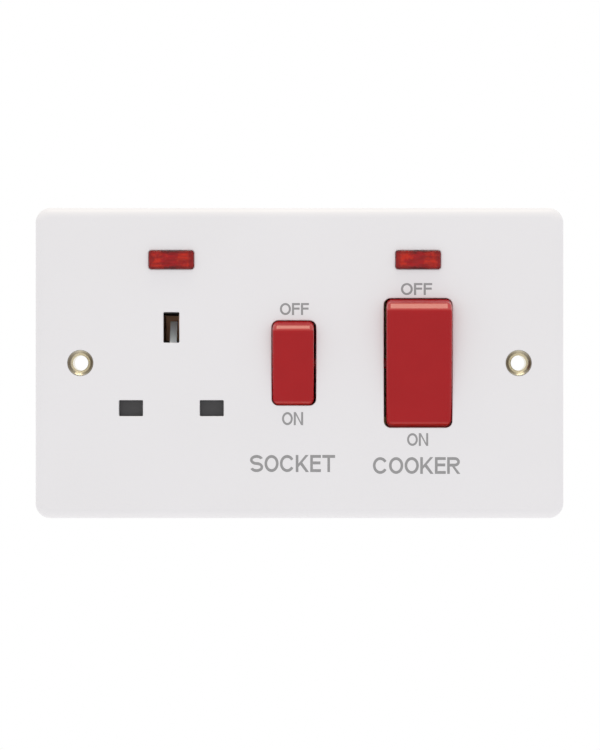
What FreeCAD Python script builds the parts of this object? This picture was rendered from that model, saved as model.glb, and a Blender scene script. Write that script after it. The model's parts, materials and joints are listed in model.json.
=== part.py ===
import FreeCAD, Part
import math
import os
import Sketcher
from types import SimpleNamespace
from FreeCAD import Placement, Rotation, Vector

# A cooker control unit: a two-gang wall plate with one 13 A socket and its switch, a large
# double-pole cooker switch, and a red neon above each. Millimetres. X runs to the right, Y from
# the room into the wall and Z up; the origin is midway between the fixing holes, on the wall.
DIMENSIONS = {
    # Front plate
    "plate_width": 146,
    "plate_height": 86,
    "plate_corner": 4.3,
    "plate_depth": 9,
    "plate_wall": 2.8,
    "plate_rim": 2.4,
    "plate_edge": 2.6,
    "plate_draft": 2,
    "rib_wall": 1.6,
    "stiffener_wall": 1.2,
    "stiffener_depth": 3.6,
    "stiffener_z": 16,
    "opening_edge": 0.3,
    # Fixing holes with brass sleeves
    "fixing_centres": 120.6,
    "fixing_bore": 4.2,
    "fixing_boss": 10,
    "sleeve_wall": 0.5,
    "sleeve_head": 7,
    "sleeve_lip": 0.4,
    "sleeve_flange": 7.4,
    "sleeve_sink": 0.1,
    # Socket apertures, to the pin layout of a 13 A plug
    "socket_x": -35.27,
    "earth_z": 9.8,
    "pin_pitch": 22.23,
    "earth_slot_width": 4.4,
    "earth_slot_height": 8.4,
    "line_slot_width": 6.6,
    "line_slot_height": 4.4,
    "slot_corner": 0.3,
    "earth_pin_length": 23,
    # Switch openings
    "cooker_x": 32.64,
    "cooker_open_width": 18.8,
    "cooker_open_height": 35.6,
    "socket_switch_x": -1.54,
    "socket_open_width": 12.2,
    "socket_open_height": 23.4,
    "open_corner": 1.8,
    "opening_lip": 0.8,
    "collar_wall": 1.8,
    "collar_depth": 4,
    # Rockers
    "side_gap": 0.4,
    "end_gap": 0.35,
    "end_play": 0.3,
    "cooker_float": 0.25,
    "socket_float": -0.2,
    "rocker_throw": 8,
    "cooker_proud": 2.6,
    "socket_proud": 2.0,
    "rocker_wall": 1.6,
    "rocker_skirt": 1,
    "bevel_foot": 0.5,
    "bevel_slope": 50,
    "bevel_edge": 1.6,
    "rocker_side": 1.5,
    "pivot_depth": 4.4,
    "axle_radius": 1.4,
    "axle_length": 1.5,
    "axle_play": 0.06,
    # Sprung plungers in the rockers
    "plunger_radius": 1.6,
    "plunger_play": 0.1,
    "plunger_reach": 12,
    "plunger_shank": 9.5,
    "plunger_nose": 0.9,
    "plunger_taper": 1.3,
    "plunger_peg": 3,
    "peg_radius": 0.8,
    "tube_wall": 0.8,
    "tube_reach": 6.5,
    "bore_floor": 4.5,
    "spring_wire": 0.45,
    "spring_turns": 4,
    "spring_play": 0.15,
    # Rocking contact arms on their fulcrums
    "arm_throw": 8,
    "arm_thickness": 1.4,
    "arm_margin": 0.6,
    "arm_corner": 0.8,
    "nose_gap": 0.12,
    "cooker_arm_offset": 5.5,
    "cooker_arm_width": 6,
    "cooker_arm_reach": 11,
    "socket_arm_offset": 3.2,
    "socket_arm_width": 4.4,
    "socket_arm_reach": 8,
    "fulcrum_radius": 0.8,
    "fulcrum_play": 0.05,
    "fulcrum_height": 3.6,
    "fulcrum_foot": 2.3,
    "strip_thickness": 1.2,
    "tip_radius": 1.7,
    "tip_height": 0.8,
    "tip_dome": 4.5,
    "tip_gap": 0.1,
    # Socket contacts
    "jaw_thickness": 0.7,
    "jaw_root": 2.5,
    "jaw_throat": 1.8,
    "jaw_throat_y": 2,
    "jaw_mouth": 2.7,
    "jaw_mouth_y": -3,
    "jaw_width": 6.4,
    "earth_jaw_width": 7.2,
    "earth_tail_depth": 6,
    "strip_width": 3.4,
    "strip_edge": 0.7,
    "live_strip_x": -13.5,
    # Shutter over the live and neutral apertures
    "shutter_thickness": 1.6,
    "shutter_gap": 0.2,
    "shutter_height": 6.6,
    "shutter_overlap": 1,
    "shutter_travel": 6,
    "stem_width": 5,
    "ramp_width": 1.9,
    "ramp_offset": 0.4,
    "ramp_depth": 1.5,
    "ramp_root": 3.2,
    "spring_seat_z": -27,
    "spring_seat_width": 5.6,
    "spring_block_width": 4.2,
    "return_spring_radius": 1.4,
    "return_spring_turns": 6,
    # Neon indicators
    "neon_z": 28.4,
    "lens_width": 12.3,
    "lens_height": 5,
    "lens_corner": 0.6,
    "lens_proud": 0.8,
    "lens_wall": 0.8,
    "lens_edge": 0.45,
    "lens_flange": 1,
    "lens_play": 0.05,
    "prism_pitch": 1.6,
    "prism_depth": 0.5,
    "prism_root": 0.1,
    "lamp_radius": 1.4,
    "lamp_length": 7.4,
    "lamp_setback": 5.2,
    "resistor_radius": 1.2,
    "resistor_length": 6,
    "resistor_waist": 0.15,
    "resistor_cap": 1.2,
    "resistor_step": 0.25,
    "lead_radius": 0.35,
    "lead_reach": 0.9,
    "lead_bend": 0.8,
    "lead_drop": 5.1,
    # Rear base
    "base_width": 106,
    "base_height": 66,
    "base_corner": 4,
    "base_wall": 1.8,
    "base_floor": 2.2,
    "base_setback": 2,
    "deep_half": 22.5,
    "deep_corner": 3,
    "base_edge": 1.2,
    "seat_gap": 0.1,
    "pole_barrier": 1.2,
    "barrier_drop": 3.5,
    "chamber_wall": 1.2,
    "chamber_play": 0.3,
    "channel_play": 0.3,
    # Screws that hold the base to the plate
    "base_screw_x": 48.5,
    "base_screw_mid_x": -14,
    "base_screw_z": 28.4,
    "base_screw_radius": 1.2,
    "base_screw_head": 2.5,
    "base_screw_head_height": 1.7,
    "base_screw_sink": 2,
    "base_screw_bite": 3,
    "screw_post": 3.1,
    "screw_play": 0.05,
    "slot_width": 0.8,
    "slot_depth": 0.9,
    # Terminals
    "terminal_offset": 6.6,
    "terminal_width": 9.4,
    "terminal_length": 9.6,
    "terminal_depth": 9.5,
    "terminal_edge": 0.6,
    "wire_bore": 5.2,
    "wire_floor": 1,
    "wire_lead_in": 0.4,
    "terminal_gap": 0.3,
    "terminal_screw_pitch": 4.8,
    "terminal_screw_radius": 1.9,
    "terminal_screw_head": 2.2,
    "terminal_screw_head_height": 1.8,
    "terminal_screw_lift": 0.3,
    "bay_wall": 1.6,
    "bay_height": 11,
    # Links and earth strap
    "link_thickness": 1,
    "link_width": 4,
    "link_z": -17,
    "link_rise": 3.2,
    "link_slope": 1,
    "strap_setback": 1.2,
    "strap_thickness": 0.8,
    "strap_width": 4.8,
    "strap_z": 22,
    "strap_ring": 4.8,
    "earth_terminal_x": 11.5,
    "earth_link_width": 6,
}


class Size:
    """A number together with the sheet expression that it comes from."""

    def __init__(self, value, text):
        self.value = value
        self.text = text

    def __add__(self, other):
        return Size(self.value + as_size(other).value, f"({self.text} + {as_size(other).text})")

    def __sub__(self, other):
        return Size(self.value - as_size(other).value, f"({self.text} - {as_size(other).text})")

    def __mul__(self, other):
        return Size(self.value * as_size(other).value, f"({self.text} * {as_size(other).text})")

    def __truediv__(self, other):
        return Size(self.value / as_size(other).value, f"({self.text} / {as_size(other).text})")

    def __neg__(self):
        return Size(-self.value, f"(-1 * {self.text})")


def as_size(number):
    return number if isinstance(number, Size) else Size(float(number), repr(float(number)))


def sine(angle):
    return Size(math.sin(math.radians(angle.value)), f"sin({angle.text} * 1 deg)")


def cosine(angle):
    return Size(math.cos(math.radians(angle.value)), f"cos({angle.text} * 1 deg)")


def root(square):
    return Size(math.sqrt(square.value), f"sqrt({square.text})")


doc = FreeCAD.newDocument("CookerControlUnit")
sheet = doc.addObject("Spreadsheet::Sheet", "Dims")
for row, (name, number) in enumerate(DIMENSIONS.items(), 1):
    sheet.set(f"A{row}", name)
    sheet.set(f"B{row}", str(number))
    sheet.setAlias(f"B{row}", name)
doc.recompute()
size = SimpleNamespace(**{name: Size(float(number), f"Dims.{name}") for name, number in DIMENSIONS.items()})

# Levels along Y and places that several pieces share
face_y = -size.plate_depth
inner_y = size.plate_wall - size.plate_depth
pivot_y = size.pivot_depth - size.plate_depth
collar_y = inner_y + size.collar_depth
base_y = -size.base_setback
strap_y = -size.strap_setback
strap_back_y = strap_y + size.strap_thickness
fulcrum_y = pivot_y + size.plunger_reach + size.nose_gap + size.arm_thickness
strip_y = fulcrum_y + size.fulcrum_height
strip_back_y = strip_y + size.strip_thickness
base_back_y = strip_back_y + size.base_floor
shutter_y = inner_y + size.shutter_gap
shutter_back_y = shutter_y + size.shutter_thickness
chamber_y = shutter_back_y + size.shutter_gap
earth_bottom_y = face_y + size.earth_pin_length
line_z = size.earth_z - size.pin_pitch
stem_top_z = size.earth_z - size.earth_slot_height / 2
neutral_pin_x = size.socket_x - size.pin_pitch / 2
live_pin_x = size.socket_x + size.pin_pitch / 2
fixing_x = size.fixing_centres / 2
sleeve_radius = size.fixing_bore / 2 + size.sleeve_wall
deep_inner = size.deep_half - size.base_wall
base_inner = size.base_height / 2 - size.base_wall
terminal_z = size.deep_half + size.terminal_gap + size.terminal_length / 2
terminal_back_y = strip_back_y + size.terminal_depth
strip_end_z = terminal_z + size.terminal_length / 2

SWITCHES = {
    "cooker": SimpleNamespace(
        x=size.cooker_x, width=size.cooker_open_width, height=size.cooker_open_height,
        offset=size.cooker_arm_offset, arm_width=size.cooker_arm_width, reach=size.cooker_arm_reach,
        proud=size.cooker_proud, float=size.cooker_float, sides={"neutral": -1, "live": 1}),
    "socket": SimpleNamespace(
        x=size.socket_switch_x, width=size.socket_open_width, height=size.socket_open_height,
        offset=size.socket_arm_offset, arm_width=size.socket_arm_width, reach=size.socket_arm_reach,
        proud=size.socket_proud, float=size.socket_float, sides={"live": -1, "neutral": 1}),
}
BASE_SCREWS = [
    (x, z * size.base_screw_z)
    for x in (-size.base_screw_x, size.base_screw_mid_x, size.base_screw_x)
    for z in (as_size(-1), as_size(1))
]
NEONS = {"cooker": size.cooker_x, "socket": size.socket_x}


def arm_x(switch, pole):
    return switch.x + switch.offset * switch.sides[pole]


def plunger_x(switch, pole):
    return arm_x(switch, pole) + switch.float


def terminal_x(pole):
    return size.cooker_x + size.terminal_offset * SWITCHES["cooker"].sides[pole]


# Sketch and feature helpers


def bind(thing, prop, amount):
    thing.setExpression(prop, as_size(amount).text)


def new_body(label):
    body = doc.addObject("PartDesign::Body", label)
    body.Label = label
    return body


def place(body, x, y, z, tilt):
    """Sets a body at a point, turned about the X axis by tilt degrees."""
    body.Placement = Placement(Vector(), Rotation(Vector(1, 0, 0), tilt.value))
    for axis, amount in zip("xyz", (x, y, z)):
        bind(body, f"Placement.Base.{axis}", amount)
    bind(body, "Placement.Rotation.Angle", tilt)


def origin_plane(body, role):
    return next(plane for plane in body.Origin.OriginFeatures if plane.Role == role)


def sketch_on(body, role, name, offset):
    sketch = body.newObject("Sketcher::SketchObject", name)
    sketch.AttachmentSupport = [(origin_plane(body, role), "")]
    sketch.MapMode = "FlatFace"
    for axis, amount in zip("xyz", offset):
        bind(sketch, f"AttachmentOffset.Base.{axis}", amount)
    return sketch


def front(body, name, y, x=0, z=0):
    """A sketch seen from the room: across is X, up is Z, and it faces -Y."""
    return sketch_on(body, "XZ_Plane", name, (x, z, -as_size(y)))


def side(body, name, x=0, y=0, z=0):
    """A sketch seen from the right: across is Y, up is Z, and it faces +X."""
    return sketch_on(body, "YZ_Plane", name, (y, z, x))


def plan(body, name, z=0, x=0, y=0):
    """A sketch seen from above: across is X, up is Y, and it faces +Z."""
    return sketch_on(body, "XY_Plane", name, (x, y, z))


def arc_between(start, end, radius, hollow):
    """The short arc from start to end, turning left, or right where it is hollow."""
    chord = end - start
    rise = math.sqrt(max(radius ** 2 - (chord.Length / 2) ** 2, 0))
    left = Vector(-chord.y, chord.x, 0).normalize()
    centre = (start + end) / 2 + left * (-rise if hollow else rise)
    first, last = (end, start) if hollow else (start, end)
    angles = [math.atan2(point.y - centre.y, point.x - centre.x) for point in (first, last)]
    if angles[1] <= angles[0]:
        angles[1] += 2 * math.pi
    return Part.ArcOfCircle(Part.Circle(centre, Vector(0, 0, 1), radius), *angles)


def outline(sketch, points, arcs={}, hollows={}):
    """Draws a closed outline, with the radius of each side that is an arc, round or hollow."""
    points = [(as_size(across), as_size(up)) for across, up in points]
    places = [Vector(across.value, up.value, 0) for across, up in points]
    first = sketch.GeometryCount
    ends = []
    for i, start in enumerate(places):
        end = places[(i + 1) % len(places)]
        radius = arcs.get(i) or hollows.get(i)
        line = arc_between(start, end, radius.value, i in hollows) if radius else Part.LineSegment(start, end)
        sketch.addGeometry(line, False)
        ends.append((2, 1) if i in hollows else (1, 2))
    for i, (across, up) in enumerate(points):
        after = (i + 1) % len(points)
        sketch.addConstraint(
            Sketcher.Constraint("Coincident", first + i, ends[i][1], first + after, ends[after][0]))
        for kind, amount in (("DistanceX", across), ("DistanceY", up)):
            constrain(sketch, amount, kind, -1, 1, first + i, ends[i][0])
        radius = arcs.get(i) or hollows.get(i)
        if radius:
            constrain(sketch, radius, "Radius", first + i)


def constrain(sketch, amount, kind, *geometry):
    index = sketch.addConstraint(Sketcher.Constraint(kind, *geometry, amount.value))
    bind(sketch, f"Constraints[{index}]", amount)


def circle(sketch, radius, x=0, y=0):
    x, y, radius = as_size(x), as_size(y), as_size(radius)
    index = sketch.addGeometry(Part.Circle(Vector(x.value, y.value, 0), Vector(0, 0, 1), radius.value), False)
    constrain(sketch, radius, "Radius", index)
    constrain(sketch, x, "DistanceX", -1, 1, index, 3)
    constrain(sketch, y, "DistanceY", -1, 1, index, 3)


def rectangle(sketch, width, height, x=0, y=0):
    x, y = as_size(x), as_size(y)
    across, up = width / 2, height / 2
    outline(sketch, [(x - across, y - up), (x + across, y - up), (x + across, y + up), (x - across, y + up)])


def rounded_rectangle(sketch, width, height, radius):
    across, up = width / 2, height / 2
    points = [(radius - across, -up), (across - radius, -up), (across, radius - up), (across, up - radius),
              (across - radius, up), (radius - across, up), (-across, up - radius), (-across, radius - up)]
    outline(sketch, points, arcs={1: radius, 3: radius, 5: radius, 7: radius})


def feature(body, kind, sketch, prop, amount, opposite, both):
    step = body.newObject(f"PartDesign::{kind}", f"{sketch.Name}_{kind.lower()}")
    step.Profile = sketch
    bind(step, prop, amount)
    step.Reversed = opposite
    if both:
        step.SideType = "Symmetric"
    return step


def pad(body, sketch, length, back=False, both=False):
    return feature(body, "Pad", sketch, "Length", length, back, both)


def pocket(body, sketch, depth, forward=False, both=False):
    return feature(body, "Pocket", sketch, "Length", depth, forward, both)


def turn(body, sketch, axis="H_Axis", kind="Revolution"):
    step = body.newObject(f"PartDesign::{kind}", f"{sketch.Name}_{kind.lower()}")
    step.Profile = sketch
    step.ReferenceAxis = (sketch, [axis])
    step.Angle = 360
    return step


def dress(body, kind, prop, amount, chosen):
    """Dresses the edges of the body that the test picks by their own geometry."""
    doc.recompute()
    base = body.Tip
    names = [f"Edge{i}" for i, edge in enumerate(base.Shape.Edges, 1) if chosen(edge)]
    step = body.newObject(f"PartDesign::{kind}", kind.lower())
    step.Base = (base, names)
    bind(step, prop, amount)
    return step


def fillet(body, radius, chosen):
    return dress(body, "Fillet", "Radius", radius, chosen)


def chamfer(body, width, chosen):
    return dress(body, "Chamfer", "Size", width, chosen)


def lies_at(axis, level):
    """A test for edges that lie wholly at one level along an axis."""
    def test(edge):
        box = edge.BoundBox
        low, high = {"x": (box.XMin, box.XMax), "y": (box.YMin, box.YMax), "z": (box.ZMin, box.ZMax)}[axis]
        return abs(low - level.value) < 1e-4 and abs(high - level.value) < 1e-4
    return test


def runs_along(direction):
    """A test for straight edges that run one way."""
    def test(edge):
        if not isinstance(edge.Curve, Part.Line):
            return False
        return abs(edge.Curve.Direction.dot(direction)) > 0.999
    return test


# Front plate: a white moulding with a hollow back


def build_front_plate():
    body = new_body("front_plate")
    sketch = front(body, "plate_outline", y=0)
    rounded_rectangle(sketch, size.plate_width, size.plate_height, size.plate_corner)
    slab = pad(body, sketch, size.plate_depth)
    bind(slab, "TaperAngle", -size.plate_draft)
    fillet(body, size.plate_edge, lies_at("y", face_y))
    sketch = front(body, "plate_hollow", y=0)
    rounded_rectangle(sketch, size.plate_width - size.plate_rim * 2, size.plate_height - size.plate_rim * 2,
                      size.plate_corner - size.plate_rim / 2)
    pocket(body, sketch, size.plate_depth - size.plate_wall, forward=True)
    add_plate_ribs(body)
    for name, switch in SWITCHES.items():
        add_rocker_opening(body, name, switch)
    add_socket_apertures(body)
    for name, x in NEONS.items():
        sketch = front(body, f"{name}_lens_opening", y=face_y, x=x, z=size.neon_z)
        rounded_rectangle(sketch, size.lens_width + size.lens_play * 2, size.lens_height + size.lens_play * 2,
                          size.lens_corner + size.lens_play)
        pocket(body, sketch, size.plate_wall)
    fillet(body, size.opening_edge, opening_rim)
    for sign in (-1, 1):
        sketch = side(body, "sleeve_seat", x=fixing_x * sign)
        outer, head = sleeve_radius + size.sleeve_sink, size.sleeve_head / 2 + size.sleeve_sink
        cone_y = face_y + size.sleeve_lip
        outline(sketch, [(face_y, 0), (0, 0), (0, outer), (cone_y + head - outer, outer),
                         (cone_y, head), (face_y, head)])
        turn(body, sketch, kind="Groove")
    return body


def opening_rim(edge):
    """A test for the edges of the openings in the face of the plate, inside its rounded border."""
    box = edge.BoundBox
    border = size.plate_rim.value + size.plate_edge.value
    across, up = size.plate_width.value / 2 - border, size.plate_height.value / 2 - border
    inside = box.XMin > -across and box.XMax < across and box.ZMin > -up and box.ZMax < up
    return inside and lies_at("y", face_y)(edge)


def add_plate_ribs(body):
    """The rib that the base seats on, the bosses, and the guides of the shutter."""
    sketch = front(body, "seat_rib", y=inner_y)
    rounded_rectangle(sketch, size.base_width, size.base_height, size.base_corner)
    rounded_rectangle(sketch, size.base_width - size.base_wall * 2, size.base_height - size.base_wall * 2,
                      size.base_corner - size.base_wall)
    pad(body, sketch, base_y - inner_y, back=True)
    sketch = front(body, "fixing_bosses", y=inner_y)
    for sign in (-1, 1):
        circle(sketch, size.fixing_boss / 2, x=fixing_x * sign)
    pad(body, sketch, strap_y - inner_y, back=True)
    sketch = front(body, "stiffeners", y=inner_y)
    reach = size.plate_width / 2 - size.plate_rim / 2
    start = size.base_width / 2 - size.base_wall / 2
    for sign in (-1, 1):
        for level in (-1, 1):
            rectangle(sketch, reach - start, size.stiffener_wall, (reach + start) / 2 * sign, size.stiffener_z * level)
    pad(body, sketch, size.stiffener_depth, back=True)
    sketch = front(body, "screw_bosses", y=inner_y)
    for x, z in BASE_SCREWS:
        circle(sketch, size.screw_post, x, z)
    pad(body, sketch, base_y - inner_y, back=True)
    sketch = front(body, "screw_pilots", y=base_y)
    for x, z in BASE_SCREWS:
        circle(sketch, size.base_screw_radius + size.screw_play, x, z)
    pocket(body, sketch, size.base_screw_bite + size.channel_play, forward=True)
    rail_height = size.shutter_height + size.shutter_travel * 2
    sketch = front(body, "shutter_rail", y=inner_y)
    rectangle(sketch, size.rib_wall, rail_height, shutter_right_x() + size.shutter_gap + size.rib_wall / 2,
              line_z - size.shutter_travel / 2)
    pad(body, sketch, size.shutter_gap + size.shutter_thickness, back=True)
    sketch = front(body, "spring_seat", y=inner_y)
    rectangle(sketch, size.spring_seat_width, size.rib_wall, size.socket_x,
              size.spring_seat_z - size.rib_wall / 2)
    pad(body, sketch, return_spring_y() + size.return_spring_radius - inner_y, back=True)
    sketch = plan(body, "seat_peg", z=size.spring_seat_z - size.rib_wall / 2, x=size.socket_x, y=return_spring_y())
    circle(sketch, size.peg_radius)
    pad(body, sketch, size.rib_wall / 2 + size.peg_radius * 2)


def add_rocker_opening(body, name, switch):
    """A lip at the face, the collar behind it, and notches that carry the rocker's stub axles."""
    inner_height = (rocker_end(switch) + size.end_play) * 2
    sketch = front(body, f"{name}_collar", y=inner_y, x=switch.x)
    rectangle(sketch, switch.width + size.collar_wall * 2, inner_height + size.collar_wall * 2)
    pad(body, sketch, size.collar_depth, back=True)
    sketch = front(body, f"{name}_opening", y=face_y, x=switch.x)
    rounded_rectangle(sketch, switch.width, switch.height, size.open_corner)
    pocket(body, sketch, size.plate_wall)
    sketch = front(body, f"{name}_relief", y=face_y + size.opening_lip, x=switch.x)
    rectangle(sketch, switch.width, inner_height)
    pocket(body, sketch, size.plate_wall - size.opening_lip + size.collar_depth)
    sketch = side(body, f"{name}_axle_notch", x=switch.x)
    notch = size.axle_radius + size.axle_play
    outline(sketch, [(pivot_y, -notch), (collar_y, -notch), (collar_y, notch), (pivot_y, notch),
                     (pivot_y - notch, 0)], arcs={3: notch, 4: notch})
    pocket(body, sketch, switch.width + size.collar_wall * 2, both=True)


def add_socket_apertures(body):
    sketch = front(body, "earth_aperture", y=face_y, x=size.socket_x, z=size.earth_z)
    rounded_rectangle(sketch, size.earth_slot_width, size.earth_slot_height, size.slot_corner)
    pocket(body, sketch, size.plate_wall)
    for name, x in (("neutral", neutral_pin_x), ("live", live_pin_x)):
        sketch = front(body, f"{name}_aperture", y=face_y, x=x, z=line_z)
        rounded_rectangle(sketch, size.line_slot_width, size.line_slot_height, size.slot_corner)
        pocket(body, sketch, size.plate_wall)


# Brass sleeves in the fixing holes


def build_fixing_sleeve(name, sign):
    body = new_body(f"{name}_fixing_sleeve")
    sketch = side(body, "sleeve_section", x=fixing_x * sign)
    bore, head = size.fixing_bore / 2, size.sleeve_head / 2
    top_y, cone_y, lip = face_y + size.sleeve_sink, face_y + size.sleeve_lip, size.sleeve_sink * 2
    flange = size.sleeve_flange / 2
    outline(sketch, [(top_y + head - lip - bore, bore), (0, bore), (0, flange), (strap_back_y, flange),
                     (strap_back_y, sleeve_radius), (cone_y + head - sleeve_radius, sleeve_radius),
                     (cone_y, head), (top_y, head), (top_y, head - lip)])
    turn(body, sketch)
    return body


# Rocker with its two sprung plungers


def rocker_end(switch):
    """The radius of a rocker's ends, round its pivot, so that they pass the lip at any tilt."""
    half = switch.height / 2 - size.end_gap
    return root(half * half + size.pivot_depth * size.pivot_depth)


def build_rocker(name, switch):
    body = new_body(f"{name}_rocker")
    width = switch.width - size.side_gap * 2
    face = size.pivot_depth + switch.proud
    end = rocker_end(switch)
    foot = size.pivot_depth + size.bevel_foot
    foot_half = root(end * end - foot * foot)
    face_half = foot_half - (face - foot) * cosine(size.bevel_slope) / sine(size.bevel_slope)
    skirt_half = root(end * end - size.rocker_skirt * size.rocker_skirt)
    sketch = side(body, "rocker_profile")
    outline(sketch, [(-face, -face_half), (-foot, -foot_half), (size.rocker_skirt, -skirt_half),
                     (size.rocker_skirt, skirt_half), (-foot, foot_half), (-face, face_half)], arcs={1: end, 3: end})
    pad(body, sketch, width, both=True)
    back = lies_at("y", size.rocker_skirt)
    fillet(body, size.bevel_edge, lambda edge: runs_along(Vector(1, 0, 0))(edge) and not back(edge))
    sides = [lies_at("x", width / 2), lies_at("x", -width / 2)]
    fillet(body, size.rocker_side, lambda edge: any(test(edge) for test in sides) and not back(edge))
    sketch = front(body, "rocker_hollow", y=size.rocker_skirt)
    rectangle(sketch, width - size.rocker_wall * 2, (face_half - size.rocker_wall) * 2)
    pocket(body, sketch, face + size.rocker_skirt - size.rocker_wall, forward=True)
    bore = size.plunger_radius + size.plunger_play
    sketch = front(body, "plunger_tubes", y=size.tube_reach)
    for sign in (-1, 1):
        circle(sketch, bore + size.tube_wall, x=switch.offset * sign)
    pad(body, sketch, size.tube_reach + face - size.rocker_wall)
    sketch = front(body, "plunger_bores", y=size.tube_reach)
    for sign in (-1, 1):
        circle(sketch, bore, x=switch.offset * sign)
    pocket(body, sketch, size.tube_reach + size.bore_floor, forward=True)
    for sign in (-1, 1):
        sketch = side(body, "stub_axle", x=(width / 2 - size.rocker_wall / 2) * sign)
        circle(sketch, size.axle_radius)
        pad(body, sketch, size.axle_length + size.rocker_wall / 2, back=sign < 0)
    place(body, switch.x + switch.float, pivot_y, 0, size.rocker_throw)
    return body


def build_plunger(name, pole, switch):
    body = new_body(f"{name}_{pole}_plunger")
    sketch = side(body, "plunger_section")
    reach, nose, radius = size.plunger_reach, size.plunger_nose, size.plunger_radius
    shoulder_y = reach - size.plunger_shank
    peg_y = shoulder_y - size.plunger_peg
    outline(sketch, [(peg_y, 0), (reach, 0), (reach - nose, nose), (reach - nose - size.plunger_taper, radius),
                     (shoulder_y, radius), (shoulder_y, size.peg_radius), (peg_y, size.peg_radius)],
            arcs={1: nose})
    turn(body, sketch)
    place(body, plunger_x(switch, pole), pivot_y, 0, size.rocker_throw)
    return body


def helix(body, sketch, height, turns, axis):
    step = body.newObject("PartDesign::AdditiveHelix", "coil")
    step.Profile = sketch
    step.ReferenceAxis = (sketch, [axis])
    step.Mode = "height-turns-angle"
    bind(step, "Height", height)
    bind(step, "Turns", turns)
    return step


def build_plunger_spring(name, pole, switch):
    body = new_body(f"{name}_{pole}_spring")
    shoulder_y = size.plunger_reach - size.plunger_shank
    wire = size.spring_wire / 2
    coil = size.plunger_radius + size.plunger_play - size.spring_play - wire
    end_gap = wire + size.spring_play
    sketch = side(body, "spring_wire")
    circle(sketch, wire, x=end_gap - size.bore_floor, y=coil)
    helix(body, sketch, shoulder_y + size.bore_floor - end_gap * 2, size.spring_turns, "H_Axis")
    place(body, plunger_x(switch, pole), pivot_y, 0, size.rocker_throw)
    return body


# Rocking contact arm, its silver tip, and the fulcrum that carries it


def build_arm(name, pole, switch):
    body = new_body(f"{name}_{pole}_arm")
    half = switch.reach + size.tip_radius + size.arm_margin
    groove = size.fulcrum_radius + size.fulcrum_play
    sketch = side(body, "arm_profile")
    outline(sketch, [(-size.arm_thickness, -half), (0, -half), (0, -groove), (-groove, 0), (0, groove),
                     (0, half), (-size.arm_thickness, half)], hollows={2: groove, 3: groove})
    pad(body, sketch, switch.arm_width, both=True)
    fillet(body, size.arm_corner, runs_along(Vector(0, 1, 0)))
    place(body, arm_x(switch, pole), fulcrum_y, 0, -size.arm_throw)
    return body


def tip_sag():
    """How far the domed face of a contact tip falls away at its edge."""
    return size.tip_dome - root(size.tip_dome * size.tip_dome - size.tip_radius * size.tip_radius)


def build_arm_tip(name, pole, switch):
    body = new_body(f"{name}_{pole}_arm_tip")
    sketch = side(body, "tip_section", z=switch.reach)
    outline(sketch, [(0, 0), (size.tip_height, 0), (size.tip_height - tip_sag(), size.tip_radius),
                     (0, size.tip_radius)], arcs={1: size.tip_dome})
    turn(body, sketch)
    place(body, arm_x(switch, pole), fulcrum_y, 0, -size.arm_throw)
    return body


def fixed_tip_y(switch):
    """The front of a fixed tip, just clear of the arm's domed tip when the switch is on."""
    dome = (size.tip_height - size.tip_dome) * cosine(size.arm_throw) + size.tip_dome
    return fulcrum_y + dome + switch.reach * sine(size.arm_throw) + size.tip_gap


def build_fixed_tip(name, pole, switch):
    body = new_body(f"{name}_{pole}_fixed_tip")
    sketch = front(body, "fixed_tip", y=strip_y, x=arm_x(switch, pole), z=switch.reach)
    circle(sketch, size.tip_radius)
    pad(body, sketch, strip_y - fixed_tip_y(switch))
    return body


def build_fulcrum(name, pole, switch, end_z):
    body = new_body(f"{name}_{pole}_fulcrum")
    sketch = side(body, "fulcrum_profile", x=arm_x(switch, pole))
    ridge = size.fulcrum_radius
    outline(sketch, [(strip_y, end_z), (strip_back_y, end_z), (strip_back_y, size.fulcrum_foot),
                     (strip_y, size.fulcrum_foot), (strip_y, ridge), (fulcrum_y, ridge),
                     (fulcrum_y - ridge, 0), (fulcrum_y, -ridge), (strip_y, -ridge)],
            arcs={5: ridge, 6: ridge})
    pad(body, sketch, switch.arm_width, both=True)
    return body


def build_load_strip(pole):
    """The strip from a fixed contact of the cooker switch to its load terminal."""
    switch = SWITCHES["cooker"]
    body = new_body(f"cooker_{pole}_load_strip")
    start_z = switch.reach - size.tip_radius - size.strip_edge
    sketch = front(body, "load_strip", y=strip_y, x=arm_x(switch, pole))
    outline(sketch, [(-switch.arm_width / 2, start_z), (switch.arm_width / 2, start_z),
                     (switch.arm_width / 2, strip_end_z), (-switch.arm_width / 2, strip_end_z)])
    pad(body, sketch, size.strip_thickness, back=True)
    return body


# Socket contacts: sprung jaws on strips that run to the socket switch


def jaw(sign, root_y):
    """One leaf of a contact: it leans in to the throat and flares out at the mouth."""
    leaf = size.jaw_thickness
    points = [(root_y, size.jaw_root), (root_y, size.jaw_root + leaf), (size.jaw_throat_y, size.jaw_throat + leaf),
              (size.jaw_mouth_y, size.jaw_mouth + leaf), (size.jaw_mouth_y, size.jaw_mouth),
              (size.jaw_throat_y, size.jaw_throat)]
    return [(y, offset * sign) for y, offset in points]


def line_contact(label, x, strip):
    body = new_body(label)
    sketch = side(body, "jaws", x=x, z=line_z)
    for sign in (-1, 1):
        outline(sketch, jaw(sign, strip_y))
    pad(body, sketch, size.jaw_width, both=True)
    sketch = front(body, "contact_strip", y=strip_y)
    outline(sketch, strip)
    pad(body, sketch, size.strip_thickness, back=True)
    return body


def contact_pad(x):
    """The square foot of a contact: its left, right, bottom and top."""
    half = size.jaw_root + size.jaw_thickness
    return x - size.jaw_width / 2, x + size.jaw_width / 2, line_z - half, line_z + half


def switch_pad(pole):
    """The end of a contact strip under a fixed tip: its left, right, bottom and top."""
    switch = SWITCHES["socket"]
    x, half = arm_x(switch, pole), size.tip_radius + size.strip_edge
    return x - switch.arm_width / 2, x + switch.arm_width / 2, switch.reach - half, switch.reach + half


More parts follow.
